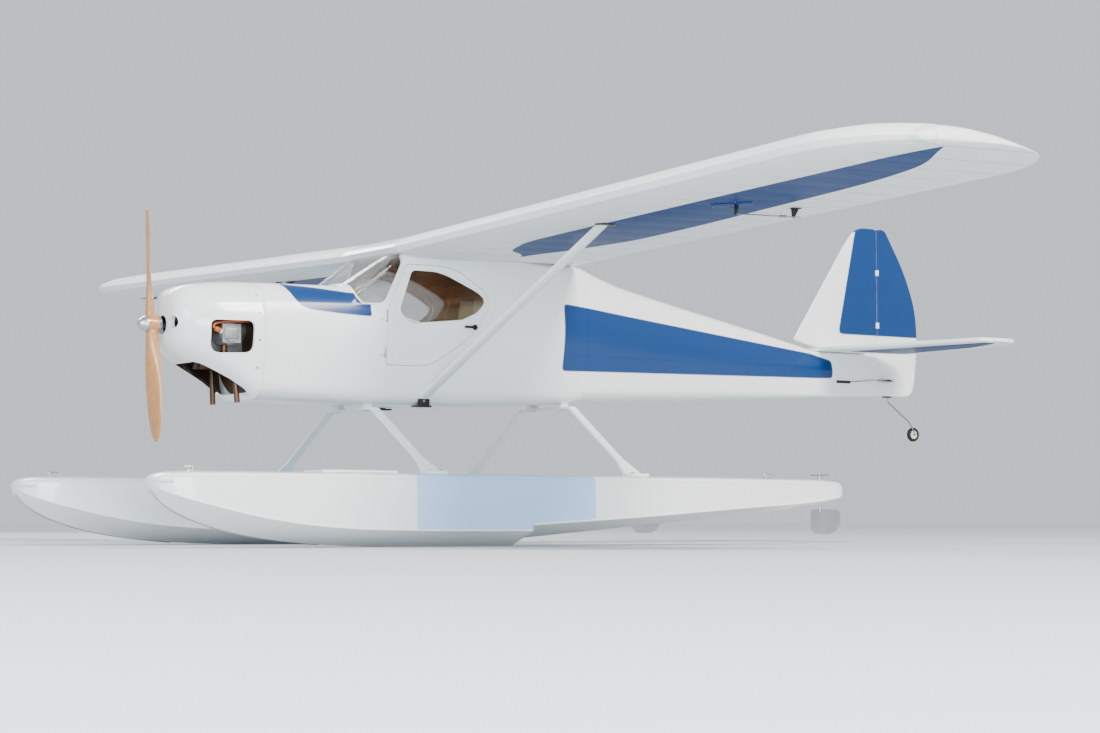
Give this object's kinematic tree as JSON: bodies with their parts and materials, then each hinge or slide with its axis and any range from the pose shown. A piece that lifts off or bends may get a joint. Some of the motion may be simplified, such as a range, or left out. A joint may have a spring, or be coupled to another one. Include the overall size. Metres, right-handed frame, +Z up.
{
  "type": "radio-controlled model floatplane",
  "caption": "High-wing, strut-braced scale model aeroplane on twin stepped floats, with working doors, propeller, control surfaces and water rudders.",
  "frame": {"origin": "middle of the outer box, on the floor under the float keels", "axes": "+X forward to the nose, +Y to port along the wing, +Z up"},
  "size_m": [1.879, 2.739, 0.6523],
  "materials": {
    "wing_film": "gloss",
    "body_film": "gloss",
    "float_film": "gloss",
    "rudder_film": "gloss",
    "cowl_shell": "gloss",
    "clear_sheet": "gloss",
    "cabin_ply": "matte",
    "cushion": "matte",
    "engine_alloy": "satin",
    "engine_dark": "satin",
    "muffler_steel": "satin",
    "steel": "satin",
    "propeller_wood": "gloss",
    "leg_paint": "gloss",
    "strut_paint": "gloss",
    "spreader_alloy": "satin",
    "water_blade": "satin",
    "tail_tyre": "matte"
  },
  "bodies": {
    "airframe": {"cabin_roof": "wing_film", "wing_left": "wing_film", "wing_right": "wing_film", "cowl": "cowl_shell", "engine_crankcase": "engine_alloy", "firewall": "cabin_ply", "cylinder_left": "engine_dark", "cylinder_right": "engine_dark", "muffler_left": "muffler_steel", "muffler_right": "muffler_steel", "fuselage_front": "body_film", "fuselage_rear": "body_film", "windscreen": "clear_sheet", "instrument_panel": "cabin_ply", "cabin_bulkhead": "cabin_ply", "seat_base": "cabin_ply", "seat_cushion": "cushion", "seat_back": "cushion", "float_left": "float_film", "float_right": "float_film", "float_hatch_left": "float_film", "float_hatch_right": "float_film", "belly_bar_front": "leg_paint", "belly_bar_rear": "leg_paint", "leg_front_left": "leg_paint", "leg_front_right": "leg_paint", "leg_rear_left": "leg_paint", "leg_rear_right": "leg_paint", "spreader_front": "spreader_alloy", "spreader_rear": "spreader_alloy", "strut_left": "strut_paint", "strut_right": "strut_paint", "stabiliser": "wing_film", "fin": "wing_film"},
    "propeller": {"propeller": "propeller_wood", "propeller_shaft": "steel", "propeller_nut": "engine_alloy"},
    "door_left": {"door_left": "body_film", "door_glass_left": "clear_sheet"},
    "door_right": {"door_right": "body_film", "door_glass_right": "clear_sheet"},
    "aileron_left": {"aileron_left": "wing_film"},
    "aileron_right": {"aileron_right": "wing_film"},
    "elevator": {"elevator_left": "wing_film", "elevator_right": "wing_film", "elevator_joiner": "steel"},
    "rudder": {"rudder": "rudder_film", "tail_wheel_leg": "steel"},
    "tail_wheel": {"tail_wheel": "tail_tyre"},
    "water_rudder_left": {"water_rudder_left": "water_blade"},
    "water_rudder_right": {"water_rudder_right": "water_blade"}
  },
  "joints": [
    {"name": "propeller_spin", "type": "hinge", "parent": "airframe", "child": "propeller", "pos_m": [0.8095, 0, 0.378], "axis": [1, 0, 0], "continuous": true},
    {"name": "door_left_swing", "type": "hinge", "parent": "airframe", "child": "door_left", "pos_m": [0.4055, 0.106, 0.4], "axis": [0, 0, -1], "range_deg": [0, 80]},
    {"name": "door_right_swing", "type": "hinge", "parent": "airframe", "child": "door_right", "pos_m": [0.4055, -0.106, 0.4], "axis": [0, 0, 1], "range_deg": [0, 80]},
    {"name": "aileron_left_turn", "type": "hinge", "parent": "airframe", "child": "aileron_left", "pos_m": [0.07942, 0.94448, 0.55645], "axis": [0, 0.9995, 0.0314], "range_deg": [-20, 20]},
    {"name": "aileron_right_turn", "type": "hinge", "parent": "airframe", "child": "aileron_right", "pos_m": [0.07942, -0.94448, 0.55645], "axis": [0, 0.9995, -0.0314], "range_deg": [-20, 20]},
    {"name": "elevator_turn", "type": "hinge", "parent": "airframe", "child": "elevator", "pos_m": [-0.7805, 0, 0.3933], "axis": [0, 1, 0], "range_deg": [-22, 25]},
    {"name": "rudder_turn", "type": "hinge", "parent": "airframe", "child": "rudder", "pos_m": [-0.8265, 0, 0.35], "axis": [0, 0, 1], "range_deg": [-25, 25]},
    {"name": "tail_wheel_spin", "type": "hinge", "parent": "rudder", "child": "tail_wheel", "pos_m": [-0.9245, 0, 0.225], "axis": [0, 1, 0], "continuous": true},
    {"name": "water_rudder_left_turn", "type": "hinge", "parent": "airframe", "child": "water_rudder_left", "pos_m": [-0.4265, 0.2875, 0.07], "axis": [0, 0, 1], "range_deg": [-30, 30]},
    {"name": "water_rudder_right_turn", "type": "hinge", "parent": "airframe", "child": "water_rudder_right", "pos_m": [-0.4265, -0.2875, 0.07], "axis": [0, 0, 1], "range_deg": [-30, 30]}
  ],
  "couplings": [
    {"joint": "aileron_right_turn", "follows": "aileron_left_turn", "ratio": -1},
    {"joint": "water_rudder_left_turn", "follows": "rudder_turn", "ratio": 1.2},
    {"joint": "water_rudder_right_turn", "follows": "rudder_turn", "ratio": 1.2}
  ]
}
